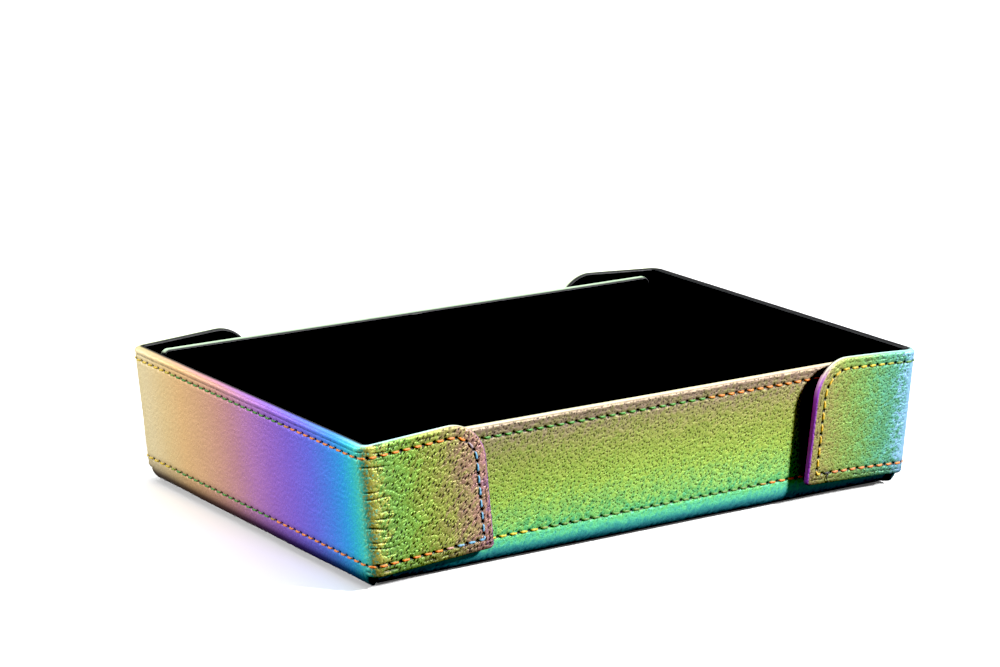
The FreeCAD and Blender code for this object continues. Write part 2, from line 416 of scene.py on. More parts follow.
def make_object(name, points, quads, loops, flat, turned):
    """A mesh object in metres, shaded smooth with sharp edges kept, and the pattern as its Sheet UV map."""
    if turned:
        quads, loops = quads[:, ::-1], [loop[::-1] for loop in loops]
    mesh = bpy.data.meshes.new(name)
    corners = np.concatenate([quads.ravel(), *loops]).astype(np.int32)
    sizes = np.array([4] * len(quads) + [len(loop) for loop in loops])
    mesh.vertices.add(len(points))
    mesh.vertices.foreach_set("co", (points * MM).astype(np.float32).ravel())
    mesh.loops.add(len(corners))
    mesh.loops.foreach_set("vertex_index", corners)
    mesh.polygons.add(len(sizes))
    mesh.polygons.foreach_set("loop_start", (np.cumsum(sizes) - sizes).astype(np.int32))
    mesh.update(calc_edges=True)
    mesh.polygons.foreach_set("use_smooth", np.ones(len(sizes), bool))
    mesh.set_sharp_from_angle(angle=math.radians(58))
    layer = mesh.uv_layers.new(name="Sheet")
    layer.data.foreach_set("uv", (np.stack(flat, -1) * MM)[corners].astype(np.float32).ravel())
    return add_object(name, mesh)


def give(thing, name, values):
    """A number for each point, which materials read by its name."""
    attribute = thing.data.attributes.new(name, "FLOAT", "POINT")
    attribute.data.foreach_set("value", np.asarray(values, np.float32))


# Marks on the leatherette: how far round an edge it still counts as the face or shows, and their sizes
FACE_TRAVEL, HIDDEN_TRAVEL = 1.0, 5.0
TILT_STEP = 0.25
CHANNEL_HALF, HOLE_HALF, PRICK_HALF = 0.85, 0.82, 0.55
CHANNEL_DEPTH, PRICK_DEPTH = 0.17, 0.6
EDGE_LINE_IN, EDGE_LINE_HALF, EDGE_LINE_DEPTH = 0.9, 0.38, 0.16
FAR_AWAY = 9.0


def tilt_of(relief, x, y, height):
    """The grain's slope along Y, or out from the middle on the long walls; it shifts each pebble's tint by
    the way its slope faces, a painted sheen.
    """
    ahead = y + TILT_STEP if relief is end_relief else y + TILT_STEP * np.sign(y + 1e-9)
    return (relief(x, ahead) - height) / TILT_STEP


def face_distance(sheet, points_u, points_v):
    """Distance from each point of the sheet's face to the nearest of the points; the others are far away."""
    tree = KDTree(len(points_u))
    for i, (u, v) in enumerate(zip(points_u, points_v)):
        tree.insert((u, v, 0), i)
    tree.balance()
    seen = sheet.travel < FACE_TRAVEL
    distance = np.full(len(seen), FAR_AWAY)
    distance[seen] = [tree.find((u, v, 0))[2] for u, v in zip(sheet.flat_u[seen], sheet.flat_v[seen])]
    return distance


def to_stitching(sheet, rows):
    """Distances of the face's points from the stitched lines and from the needle holes."""
    lines = [sample(path, 0.4) for path, _ in rows]
    needle_holes = [sample_at(path, holes) for path, holes in rows]
    return [face_distance(sheet, *np.concatenate(places, axis=1)) for places in (lines, needle_holes)]


def edge_line(sheet, relief, x, y):
    """The fine groove beside a free edge, 0 to 1: faint on the long walls and broken on the tabs."""
    to_edge = face_distance(sheet, sheet.flat_u[sheet.free_rim], sheet.flat_v[sheet.free_rim])
    broken = smooth_step(rolling(x / 1.3, y / 1.3, 31), -0.4, 0.3)
    on_ends = np.where(np.abs(y) < END_HALF, 0.8, broken)
    strength = 0.45 if relief is long_relief else on_ends
    return bell(to_edge - EDGE_LINE_IN, EDGE_LINE_HALF) * strength * (sheet.travel < 0.1)


def leather_sheet(name, sheet, side, relief, rows, ends_dark=1.6):
    """Leatherette with its grain, stitch marks and edge lines, and the numbers that its material reads."""
    x, y = side.flat(sheet.flat_u, sheet.flat_v)
    height = relief(x, y)
    tilt = tilt_of(relief, x, y, height)
    crease = -height
    hidden = sheet.travel > HIDDEN_TRAVEL
    height = height * np.clip(1 - sheet.travel / 4.5, 0.25, 1) * ~hidden
    hole = np.zeros(len(x))
    if rows:
        to_line, to_hole = to_stitching(sheet, rows)
        channel, prick = bell(to_line, CHANNEL_HALF), bell(to_hole, PRICK_HALF)
        hole = bell(to_hole, HOLE_HALF, 6)
        height = height * (1 - 0.6 * channel) - CHANNEL_DEPTH * channel - PRICK_DEPTH * prick
    if len(sheet.free_rim):
        line = edge_line(sheet, relief, x, y)
        height = height - EDGE_LINE_DEPTH * line
        # The groove also darkens the colour through the creases, a painted shade; its dent is real.
        crease = crease + 0.3 * line
    slow = 0.12 * rolling(x / 31, y / 31, 41) + 0.06 * rolling(x / 9, y / 9, 42)
    height = height + slow * ~hidden
    points = side.place(sheet.u, sheet.v, sheet.d - height)
    thing = make_object(name, points, *sheet.faces(), (x, y), side.turned)
    # The material darkens the creases by this: painted shade.
    give(thing, "crease", np.clip(crease, 0, 1))
    # Tilt shifts each pebble's tint by the way its slope faces: painted sheen.
    give(thing, "tilt", np.clip(tilt, -1, 1))
    # The material paints the needle holes black, a painted shade in the holes; their dents are real.
    give(thing, "hole", hole)
    give(thing, "grained", grained(relief, y) * (1 - smooth_step(sheet.travel, 0.7, 1.3)))
    give(thing, "edge", smooth_step(sheet.travel, 0.35, 0.8) * sheet.sideways**4 * (ends_dark > 4))
    # Where the turned edge faces up, the material paints a highlight on it.
    give(thing, "rim", smooth_step(sheet.travel, 1.1, 1.8) * np.sqrt(sheet.upward))
    dark_from = np.where(sheet.sideways > 0.8, ends_dark, 3.4 if relief is long_relief else 2.6)
    give(thing, "inside", smooth_step(sheet.travel, dark_from, dark_from + 0.7))
    return thing


def velvet_sheet(name, sheet, side):
    """Velvet, glued down, with the slight waves of a hand-laid lining."""
    x, y = side.flat(sheet.flat_u, sheet.flat_v)
    wave = 0.05 * rolling(x / 14, y / 14, 51) + 0.03 * rolling(x / 4, y / 4, 52)
    points = side.place(sheet.u, sheet.v, sheet.d + wave * (sheet.travel < 0.1))
    return make_object(name, points, *sheet.faces(), (x, y), not side.turned)


# --- stitching ---


def sample_at(path, lengths):
    """Points of a path at these distances along it."""
    path = np.asarray(path, float)
    gone = np.concatenate([[0], np.cumsum(np.hypot(*np.diff(path, axis=0).T))])
    return np.interp(lengths, gone, path[:, 0]), np.interp(lengths, gone, path[:, 1])


def length_of(path):
    return np.hypot(*np.diff(np.asarray(path, float), axis=0).T).sum()


def sample(path, step):
    return sample_at(path, np.arange(0, length_of(path), step))


def evenly(path, lead=0.0):
    """A path with its needle holes, about a pitch apart, this far in from both of its ends."""
    last = length_of(path) - lead
    return path, np.linspace(lead, last, round((last - lead) / PITCH) + 1)


def rounded(corners):
    """A path through (u, v, radius) corners, its ends left as they are."""
    path = [corners[0][:2]]
    for before, (u, v, radius), after in zip(corners, corners[1:], corners[2:]):
        here = np.array([u, v])
        back = np.array(before[:2]) - here
        on = np.array(after[:2]) - here
        back, on = back / np.hypot(*back), on / np.hypot(*on)
        centre = here + (back + on) * radius
        for a in np.linspace(0, math.pi / 2, 9):
            path.append(tuple(centre - on * radius * math.cos(a) - back * radius * math.sin(a)))
    path.append(corners[-1][:2])
    return path


THREAD_HALF_WIDTH, THREAD_HALF_HEIGHT = 0.43, 0.27
LOOSE_END_RADIUS = 0.17
ROUND, ALONG = 10, 13
AROUND = np.linspace(0, 2 * math.pi, ROUND, endpoint=False)


def tube(side, u, v, depth, wide, tall):
    """Rings of points round a thread's centre line, by their offsets across it and out of the sheet."""
    centre = side.place(u, v, depth)
    out = side.place(u, v, depth - 0.1) - centre
    out /= np.linalg.norm(out, axis=1)[:, None]
    along = np.gradient(centre, axis=0)
    along /= np.linalg.norm(along, axis=1)[:, None]
    across = np.cross(out, along)
    points = centre[:, None] + across[:, None] * wide[..., None] + out[:, None] * tall[..., None]
    return points.reshape(-1, 3)


def stitch(side, path, first, last):
    """One stitch between two needle holes: a twisted two-ply thread that dives into each."""
    t = np.linspace(0, 1, ALONG)
    u, v = sample_at(path, first + (last - first) * (0.12 + 0.76 * t))
    du, dv = np.gradient(u), np.gradient(v)
    size = np.hypot(du, dv)
    slant = 0.1 * (1 - 2 * t)
    u, v = u - slant * dv / size, v + slant * du / size
    dive = np.abs(2 * t - 1) ** 5
    depth = 1.05 * dive - 0.1
    ply = 1 + 0.13 * np.cos(2 * AROUND - 2 * math.pi * 1.6 * t[:, None])
    taper = (1 - 0.25 * dive)[:, None]
    wide = THREAD_HALF_WIDTH * ply * taper * np.cos(AROUND)
    tall = THREAD_HALF_HEIGHT * ply * taper * np.sin(AROUND)
    return tube(side, u, v, depth, wide, tall), sample_at(path, (first + last) / 2)


def tube_faces(start, turned):
    """Faces of a tube of rings, closed at both ends."""
    ring = np.arange(ROUND)
    quads = []
    for k in range(ALONG - 1):
        a, b = start + k * ROUND + ring, start + (k + 1) * ROUND + ring
        quads.append(np.stack([a, np.roll(a, -1), np.roll(b, -1), b], -1))
    ends = [(start + ring)[::-1], start + (ALONG - 1) * ROUND + ring]
    quads = np.concatenate(quads)
    return (quads[:, ::-1], [e[::-1] for e in ends]) if turned else (quads, ends)


def thread(name, side, rows, extra=()):
    """All the stitches of some rows as one piece."""
    tubes = [stitch(side, path, *pair) for path, holes in rows for pair in zip(holes[:-1], holes[1:])]
    tubes += extra
    faces = [tube_faces(i * ROUND * ALONG, not side.turned) for i in range(len(tubes))]
    points = np.concatenate([rings for rings, _ in tubes])
    quads = np.concatenate([quads for quads, _ in faces])
    ends = [end for _, ends in faces for end in ends]
    flat = np.repeat([side.flat(*middle) for _, middle in tubes], ROUND * ALONG, axis=0).T
    return make_object(name, points, quads, ends, flat, False)


def long_rows():
    top, low, end = LONG_END - STITCH_MARGIN, LONG_START + LONG_FOOT_MARGIN, LONG_HALF - STITCH_MARGIN
    loop = rounded([(0, top), (end, top, 0.6), (end, low, 0.6), (-end, low, 0.6), (-end, top, 0.6), (0, top)])
    return [evenly(loop)]


def tab_levels():
    return TAB_FOOT + STITCH_MARGIN, END_TOP - STITCH_MARGIN


LAST_HOLE = PITCH * math.floor((END_HALF + 2) / PITCH)


def end_rows():
    """Two rows across an end wall; the last holes are just round the corners."""
    rows = []
    for level in tab_levels():
        v = END_START + level - END_TANGENT
        path = [(-LAST_HOLE, v), (LAST_HOLE, v)]
        rows.append((path, np.arange(0, 2 * LAST_HOLE + 0.1, PITCH)))
    return rows


def corner_rows():
    first = LAST_HOLE - END_HALF
    holes = 1.0 + first + PITCH * np.arange(3)
    return [([(-1.0, level), (first + 2 * PITCH, level)], holes) for level in tab_levels()]


def tab_rows():
    """One row round a tab's free sides, from the corner and back to it."""
    low, top = tab_levels()
    near, far = CORNER_LENGTH, TAB_END - STITCH_MARGIN
    path = rounded([(near, top), (far, top, TAB_TOP_R - STITCH_MARGIN), (far, low, 0.6), (near, low)])
    return [evenly(path, LAST_HOLE + 2 * PITCH - END_HALF - near)]


def loose_end(side):
    """A short cut end of thread that hangs from the lower row of a tab."""
    t = np.linspace(0, 1, ALONG)
    u = TAB_END - 11.2 + 2.9 * np.sin(t * 2.2) - 2.4 * t**2
    v = TAB_FOOT + STITCH_MARGIN - 3.6 * t
    depth = 0.2 - 0.75 * np.sin(t * math.pi * 0.9)
    wide, tall = LOOSE_END_RADIUS * np.cos(AROUND)[None], LOOSE_END_RADIUS * np.sin(AROUND)[None]
    return tube(side, u, v, depth, wide, tall), (u[0], v[0])


# --- materials ---


def linear(rgb):
    """An 8-bit sRGB colour as linear numbers."""
    return tuple(c / 3294.6 if c <= 10 else ((c / 255 + 0.055) / 1.055) ** 2.4 for c in rgb)


class Tree:
    """A material's nodes, added by short calls."""

    def __init__(self, name):
        self.material = bpy.data.materials.new(name)
        self.material.use_nodes = True
        self.nodes, self.links = self.material.node_tree.nodes, self.material.node_tree.links
        self.shader = self.nodes["Principled BSDF"]

    def add(self, kind, inputs=None, **settings):
        """A node with its settings; inputs gives some of its inputs a value or another node's socket."""
        node = self.nodes.new(kind)
        for name, value in settings.items():
            setattr(node, name, value)
        for place, source in (inputs or {}).items():
            self.link(source, node.inputs[place])
        return node

    def link(self, source, target):
        if isinstance(source, (int, float, tuple)):
            target.default_value = source
        else:
            self.links.new(source, target)

    def pattern(self):
        """X and Y of the flat pattern, in millimetres."""
        uv = self.add("ShaderNodeUVMap", uv_map="Sheet").outputs[0]
        inputs = {0: uv, 1: (1000, 1000, 1000)}
        scaled = self.add("ShaderNodeVectorMath", inputs, operation="MULTIPLY").outputs[0]
        parts = self.add("ShaderNodeSeparateXYZ", {0: scaled})
        return scaled, parts.outputs[0], parts.outputs[1]

    def attribute(self, name):
        return self.add("ShaderNodeAttribute", attribute_name=name).outputs["Fac"]

    def maths(self, operation, a, b=0.0):
        return self.add("ShaderNodeMath", {0: a, 1: b}, operation=operation).outputs[0]

    def times(self, a, b):
        return self.maths("MULTIPLY", a, b)

    def noise(self, vector, scale, detail=3.0, roughness=0.55):
        inputs = {"Vector": vector, "Scale": scale, "Detail": detail, "Roughness": roughness}
        return self.add("ShaderNodeTexNoise", inputs).outputs[0]

    def object_noise(self, scale, detail, roughness=0.55):
        return self.noise(self.add("ShaderNodeTexCoord").outputs["Object"], scale, detail, roughness)

    def cells(self, vector, scale):
        return self.add("ShaderNodeTexVoronoi", {"Vector": vector, "Scale": scale}).outputs["Distance"]

    def warped(self, vector, scale, amount):
        """A vector pushed about by noise."""
        noise = self.add("ShaderNodeTexNoise", {"Vector": vector, "Scale": scale})
        inputs = {0: noise.outputs["Color"], 1: (amount, amount, 0), 2: vector}
        return self.add("ShaderNodeVectorMath", inputs, operation="MULTIPLY_ADD").outputs[0]

    def dashes(self, vector, length, width, direction):
        """Short dashes scattered along a direction of the pattern, and a number from -0.5 to 0.5 for each."""
        inputs = {"Vector": self.warped(vector, 0.4, 0.4), "Rotation": (0, 0, math.radians(direction))}
        inputs["Scale"] = (length, width, 1)
        turned = self.add("ShaderNodeMapping", inputs, vector_type="TEXTURE").outputs[0]
        inputs = {"Vector": turned, "Scale": 1, "Randomness": 0.85}
        cell = self.add("ShaderNodeTexVoronoi", inputs, voronoi_dimensions="2D")
        value = self.add("ShaderNodeSeparateXYZ", {0: cell.outputs["Color"]})
        size = self.maths("ADD", cell.outputs["Distance"], self.times(value.outputs[1], 0.14))
        return self.span(size, 0.2, 0.33, 1, 0), self.maths("SUBTRACT", value.outputs[0], 0.5)

    def span(self, value, low, high, to_low=0.0, to_high=1.0):
        inputs = dict(enumerate((value, low, high, to_low, to_high)))
        return self.add("ShaderNodeMapRange", inputs).outputs[0]

    def ramp(self, value, stops):
        """A colour from a value in the stops' own units; each stop is a place and an 8-bit colour."""
        stops = sorted(stops)
        low, high = stops[0][0], stops[-1][0]
        node = self.add("ShaderNodeValToRGB", {0: self.span(value, low, high)})
        band = node.color_ramp
        while len(band.elements) < len(stops):
            band.elements.new(0.5)
        for element, (place, colour) in zip(band.elements, stops):
            element.position = (place - low) / (high - low)
            element.color = (*linear(colour), 1)
        return node.outputs[0]

    def mix(self, kind, factor, a, b):
        inputs = {"Factor": factor, 6: a, 7: b}
        return self.add("ShaderNodeMix", inputs, data_type="RGBA", blend_type=kind).outputs[2]

    def bump(self, height, strength, distance):
        inputs = {"Strength": strength, "Distance": distance, "Height": height}
        self.set(Normal=self.add("ShaderNodeBump", inputs).outputs[0])

    def set(self, **values):
        """The shader's inputs, as values or sockets."""
        for name, value in values.items():
            self.link(value, self.shader.inputs[name.replace("_", " ")])


# Tint stops, by place on the pattern in millimetres. They are partly the leatherette's own pearlescent
# colours and partly painted sheen and shade: the film's colours and the light on each face as seen from one
# side, fixed in place. LONG_UP's lowest stops are near black under the base and at the foot of the rolls.
# They are a painted shadow where the tray meets the floor.
LONG_UP = [
    (70, (2, 4, 5)), (77.4, (2, 5, 7)), (79, (30, 70, 80)), (80.6, (62, 140, 158)), (82.4, (74, 178, 174)),
    (84.6, (104, 214, 162)), (88, (112, 200, 116)), (92, (146, 208, 112)), (96, (156, 208, 104)),
    (101, (164, 202, 90)), (107, (162, 188, 84)), (113, (162, 178, 86)), (118, (163, 168, 92)),
    (122, (158, 154, 98)), (125, (156, 144, 106)), (128, (150, 130, 110)), (134, (150, 132, 112)),
]
# Painted highlights on the turned top edges: pale mint on the far long wall, cream along the near one, and
# tinted along the end walls and tabs.
FAR_RIM_HIGHLIGHT = (206, 232, 200)
LONG_RIM_HIGHLIGHT = [
    (-116, (255, 255, 214)), (-40, (255, 252, 212)), (40, (255, 248, 206)), (116, (255, 236, 196)),
]
# Painted shade: the long walls darker towards their left ends.
LONG_SHADE_ACROSS = [
    (-116, (228, 232, 236)), (-60, (240, 242, 238)), (0, (250, 250, 246)), (116, (255, 246, 250)),
]
FAR_HALF = [
    (134, (150, 158, 92)), (112, (150, 178, 92)), (92, (178, 186, 110)), (84, (222, 206, 158)),
    (76, (226, 209, 165)), (62, (223, 196, 143)), (48, (222, 182, 129)), (34, (213, 169, 130)),
    (20, (204, 154, 137)), (8, (192, 138, 151)), (-6, (178, 122, 182)), (-20, (153, 106, 197)),
    (-34, (130, 102, 212)), (-48, (105, 110, 224)), (-61, (74, 133, 229)), (-70, (53, 157, 228)),
    (-77, (54, 186, 205)), (-81, (70, 196, 180)),
]
LEFT_ALONG = FAR_HALF + [
    (-84, (112, 196, 160)), (-85.2, (192, 176, 80)), (-87.4, (170, 174, 80)), (-91.5, (122, 172, 84)),
    (-101, (136, 178, 74)), (-108, (148, 166, 72)), (-116, (158, 160, 82)), (-123, (162, 142, 102)),
    (-129, (176, 138, 118)), (-134, (204, 152, 148)), (-138, (150, 110, 150)),
]
RIGHT_ALONG = FAR_HALF + [
    (-84, (150, 188, 228)), (-88, (128, 184, 206)), (-92, (98, 172, 146)), (-99, (102, 172, 124)),
    (-107, (122, 174, 100)), (-115, (138, 170, 88)), (-122, (152, 166, 88)), (-128, (162, 160, 92)),
    (-134, (166, 152, 94)), (-138, (150, 120, 120)),
]
# Painted rim highlight along the end walls and tabs.
RIM_HIGHLIGHT_ALONG = [
    (134, (214, 236, 196)), (90, (216, 230, 180)), (80, (206, 192, 140)), (50, (208, 170, 140)),
    (20, (196, 140, 160)), (-10, (160, 112, 200)), (-40, (110, 120, 226)), (-66, (80, 160, 226)),
    (-80, (130, 210, 226)), (-88, (190, 248, 244)), (-112, (214, 255, 246)), (-126, (240, 246, 210)),
    (-134, (196, 150, 170)),
]
UNDER_VELVET = (8, 8, 9)
# On the right, the velvet's own black along the wall's rim, and the painted rim highlight on the tabs.
RIGHT_RIM = RIM_HIGHLIGHT_ALONG[:2] + [(80, UNDER_VELVET), (-80, UNDER_VELVET), (-86, (190, 248, 244))] + RIM_HIGHLIGHT_ALONG[-3:]
# Painted shade: near black at the foot of the end walls, the tabs and their rolls, rising to full brightness
# up the face.
END_SHADE_UP = [
    (108, (8, 10, 14)), (116, (40, 38, 46)), (121, (106, 100, 112)), (124, (206, 204, 206)),
    (130, (255, 255, 255)), (174, (255, 255, 255)),
]


def tint_shift(tree, vector, y, fleck, on, flecks, drift):
    """How far the tint moves along its stops from place to place: by speckle, by pebble and slowly."""
    # By pebble: the slope's tilt moves the tint, a painted sheen, and a random number for each dash moves it
    # too.
    uneven = tree.maths("ADD", tree.times(tree.attribute("tilt"), 0.6), fleck)
    by_pebble = tree.times(tree.times(uneven, on), flecks)
    reach = tree.span(tree.maths("ABSOLUTE", y), 68, 79, 16.0, 2.4)
    speckle = tree.times(tree.maths("SUBTRACT", tree.noise(vector, 1.5, 3.0, 0.7), 0.5), reach)
    slowly = tree.times(tree.maths("SUBTRACT", tree.noise(vector, 0.9), 0.5), drift)
    return tree.maths("ADD", tree.maths("ADD", speckle, by_pebble), slowly)


def with_painted_shade(tree, colour, line, dark):
    """The colour with painted shade in its creases and on its dashes, painted shade (black) in the needle
    holes, and its inner side black.
    """
    crease = tree.span(tree.attribute("crease"), 0.15, 0.34)
    shadow = tree.maths("MAXIMUM", tree.times(crease, 0.85), tree.times(line, dark))
    colour = tree.mix("MULTIPLY", shadow, colour, (0.07, 0.05, 0.06, 1))
    colour = tree.mix("MIX", tree.attribute("hole"), colour, (0.001, 0.001, 0.001, 1))
    return tree.mix("MIX", tree.attribute("inside"), colour, (0.004, 0.004, 0.005, 1))


def leather_material(name, along_x, stops, rim, shade_stops, dash, dark, flecks, edge):
    """Pearlescent grained leatherette, its tint shifting over the tray and from pebble to pebble. The tint is
    partly painted sheen and shade; creases, dashes and needle holes carry painted shade, and the rims a
    painted highlight.
    """
    tree = Tree(name)
    vector, x, y = tree.pattern()
    main = tree.maths("ABSOLUTE", y) if along_x else y
    other = x if along_x else tree.maths("ABSOLUTE", x)
    places = [place for place, _ in stops]
    # The dashes are darkened in the colour, a painted shade on the pebbles' shadow sides; the bump dents them
    # as well.
    line, fleck = tree.dashes(vector, *dash)
    on = tree.attribute("grained")
    line = tree.times(line, on)
    shift = tint_shift(tree, vector, y, fleck, on, flecks, (max(places) - min(places)) * 0.05)
    colour = tree.ramp(tree.maths("ADD", main, shift), stops)
    lit = tree.ramp(fleck, [(-0.5, (222, 222, 222)), (0.5, (255, 255, 255))])
    shade = tree.mix("MULTIPLY", on, tree.ramp(other, shade_stops), lit)
    colour = tree.mix("MULTIPLY", 1.0, colour, shade)
    colour = tree.mix("MIX", tree.attribute("edge"), colour, (*linear(edge), 1))
    # Painted highlight on the rims.
    colour = tree.mix("MIX", tree.attribute("rim"), colour, rim(tree, x, y))
    colour = with_painted_shade(tree, colour, line, dark)
    fine = tree.noise(vector, 3.2, 4.0, 0.6)
    pores = tree.times(tree.cells(vector, 2.4), 0.5)
    tree.bump(tree.maths("SUBTRACT", tree.maths("ADD", fine, pores), tree.times(line, 1.2)), 0.7, 0.00016)
    tree.set(Base_Color=colour, Roughness=tree.span(fine, 0.3, 0.7, 0.36, 0.54), Metallic=0.4)
    return tree.material


def long_rim_highlight(tree, x, y):
    """Painted highlight on the rims: cream on the near wall and pale mint on the far wall."""
    far = tree.maths("GREATER_THAN", y, 0.0)
    return tree.mix("MIX", far, tree.ramp(x, LONG_RIM_HIGHLIGHT), (*linear(FAR_RIM_HIGHLIGHT), 1))


# Painted highlight on the left wall's and its tabs' rims, tinted along the tray.
def left_rim_highlight(tree, x, y):
    return tree.ramp(y, RIM_HIGHLIGHT_ALONG)


def right_rim(tree, x, y):
    """The velvet comes right up to the right wall's rim; the tabs' rims have a painted highlight, cream and
    cyan.
    """
    return tree.ramp(y, RIGHT_RIM)


def velvet_material():
    tree = Tree("velvet")
    vector, _, _ = tree.pattern()
    nap = tree.noise(vector, 0.05, 2.0)
    tree.bump(tree.noise(vector, 5.0, 3.0), 0.5, 0.0003)
    tree.set(Base_Color=tree.ramp(nap, [(0.3, (4, 4, 5)), (0.7, (7, 7, 8))]))
    tree.set(Roughness=tree.span(nap, 0.3, 0.7, 0.9, 1.0))
    tree.set(Specular_IOR_Level=0.03, Sheen_Weight=0.015, Sheen_Roughness=0.35)
    return tree.material


def thread_material(name, along_x, split, top_stops, low_stops):
    """Polyester thread whose colour changes along the row; split divides the upper from the lower row."""
    tree = Tree(name)
    _, x, y = tree.pattern()
    main = x if along_x else y
    other = tree.maths("ABSOLUTE", y if along_x else x)
    top, low = tree.ramp(main, top_stops), tree.ramp(main, low_stops)
    colour = tree.mix("MIX", tree.maths("GREATER_THAN", other, split), low, top)
    fibres = tree.object_noise(3500.0, 2.0)
    lit = tree.ramp(fibres, [(0.25, (150, 150, 150)), (0.75, (255, 255, 255))])
    tree.bump(fibres, 0.4, 0.0001)
    tree.set(Base_Color=tree.mix("MULTIPLY", 1.0, colour, lit), Sheen_Weight=0.2)
    tree.set(Roughness=tree.span(fibres, 0.3, 0.7, 0.4, 0.6))
    return tree.material


def speckled_material(name, scale, detail, roughness, shades, rough, bump=None, metallic=0.0):
    """Board, felt or plated metal: fine noise from one shade and roughness to the other."""
    tree = Tree(name)
    flecks = tree.object_noise(scale, detail, roughness)
    tree.set(Base_Color=tree.ramp(flecks, [(0.3, shades[0]), (0.7, shades[1])]))
    tree.set(Roughness=tree.span(flecks, 0.3, 0.7, *rough), Metallic=metallic)
    if bump:
        tree.bump(flecks, *bump)
    return tree.material


ORANGE, GREEN, YELLOW = (255, 142, 40), (70, 150, 40), (240, 206, 40)
OLIVE, SKY, GOLD, BLACK = (104, 146, 52), (118, 186, 226), (236, 190, 44), (10, 10, 9)
LONG_TOP_THREAD = [(-116, YELLOW), (-74, YELLOW), (-70, GREEN), (26, GREEN), (30, ORANGE), (116, ORANGE)]
LONG_LOW_THREAD = [(-116, YELLOW), (-50, YELLOW), (-44, OLIVE), (52, OLIVE), (58, ORANGE), (116, ORANGE)]
LEFT_TOP_THREAD = [
    (134, SKY), (90, YELLOW), (58, YELLOW), (50, GREEN), (-28, GREEN), (-36, ORANGE), (-126, ORANGE),
    (-128, SKY), (-134, SKY),
]
LEFT_LOW_THREAD = [
    (134, SKY), (90, YELLOW), (66, YELLOW), (58, GREEN), (-12, GREEN), (-20, ORANGE), (-112, ORANGE),
    (-120, SKY), (-134, SKY),
]
RIGHT_TOP_THREAD = [
    (134, GOLD), (58, YELLOW), (50, GREEN), (-80, GREEN), (-92, OLIVE), (-104, YELLOW), (-116, GOLD),
    (-134, GOLD),
]
RIGHT_LOW_THREAD = [
    (134, GOLD), (58, YELLOW), (50, GREEN), (-80, ORANGE), (-120.4, (255, 140, 80)), (-121, BLACK),
    (-126, BLACK), (-126.6, GOLD), (-134, GOLD),
]

# Whether the parts lie along X, the tint's stops (partly painted sheen and shade), the rim's painted
# highlight, the stops of painted shade across, the dashes (length, width and direction), how dark their
# painted shade is, how far a pebble's tint shifts, and the colour of the tabs' end edges
LEATHERS = {
    "long": (True, LONG_UP, long_rim_highlight, LONG_SHADE_ACROSS, (1.9, 0.95, -52), 0.9, 8.0, (118, 60, 150)),
    "left": (False, LEFT_ALONG, left_rim_highlight, END_SHADE_UP, (3.3, 1.2, 42), 1.0, 9.0, (118, 60, 150)),
    "right": (False, RIGHT_ALONG, right_rim, END_SHADE_UP, (1.6, 1.05, 38), 0.75, 8.0, (190, 84, 236)),
}
THREADS = {
    "long": (True, 106, LONG_TOP_THREAD, LONG_LOW_THREAD),
    "left": (False, 146, LEFT_TOP_THREAD, LEFT_LOW_THREAD),
    "right": (False, 146, RIGHT_TOP_THREAD, RIGHT_LOW_THREAD),
}
# Noise scale, detail and roughness, the two shades, the two roughnesses, and the bump or the metal
SPECKLED = {
    "grey_board": (900.0, 5.0, 0.7, ((118, 112, 102), (168, 160, 146)), (0.75, 0.95), (0.3, 0.0002)),
    "felt": (1600.0, 6.0, 0.75, ((44, 44, 46), (78, 78, 80)), (0.85, 1.0), (0.6, 0.0004)),
    "nickel_plate": (1200.0, 2.0, 0.55, ((176, 174, 168), (206, 204, 198)), (0.22, 0.38), None, 1.0),
}
MATERIALS = {name: leather_material(f"leatherette_{name}", *look) for name, look in LEATHERS.items()}
MATERIALS |= {f"{name}_thread": thread_material(f"thread_{name}", *look) for name, look in THREADS.items()}
MATERIALS |= {name: speckled_material(name, *look) for name, look in SPECKLED.items()}
MATERIALS["velvet"] = velvet_material()


# --- pieces ---


def finish_piece(thing, material, replaced, body):
    """Material, slot and CAD node of a piece, and its body: given one name it hangs from that body; given
    anything else the body is only listed and the piece stays put, its place baked into its mesh.
    """
    thing.data.materials.append(MATERIALS[material])
    if replaced:
        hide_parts(*replaced)
    if isinstance(body, str):
        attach(thing, body)
    else:
        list(body)
        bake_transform(thing)
    return thing


def lining_sheet(u_span, v_span, step, free="", radii=()):
    return Sheet(u_span, v_span, step, free, radii, VELVET_EDGE, PANEL, PANEL - VELVET)


def velvet_piece(name, lining, side, node, body):
    return finish_piece(velvet_sheet(name, lining, side), "velvet", [node], body)


GRAIN_STEP, TAB_STEP, VELVET_STEP = 0.36, 0.22, 1.4
FRONTS, SIDES = {"front": -1, "back": 1}, {"left": -1, "right": 1}
VELVET_IN = LEATHER + VELVET_EDGE[-1][0]


def chord(side, start, end, depth):
    """Where a fold starts and ends, in metres, at this depth."""
    return [tuple(side.place(np.array(u), np.array(v), np.array(depth)) * MM) for u, v in (start, end)]


def base_pieces():
    side, spans = base_side(), ((-HALF_X, HALF_X), (-HALF_Y, HALF_Y))
    thing = leather_sheet("base_leather", Sheet(*spans, 0.8), side, long_relief, [])
    finish_piece(thing, "long", ["base_cover"], "base")
    thing = velvet_piece("floor_velvet", lining_sheet(*spans, VELVET_STEP), side, "base_lining", "base")
    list(spans)


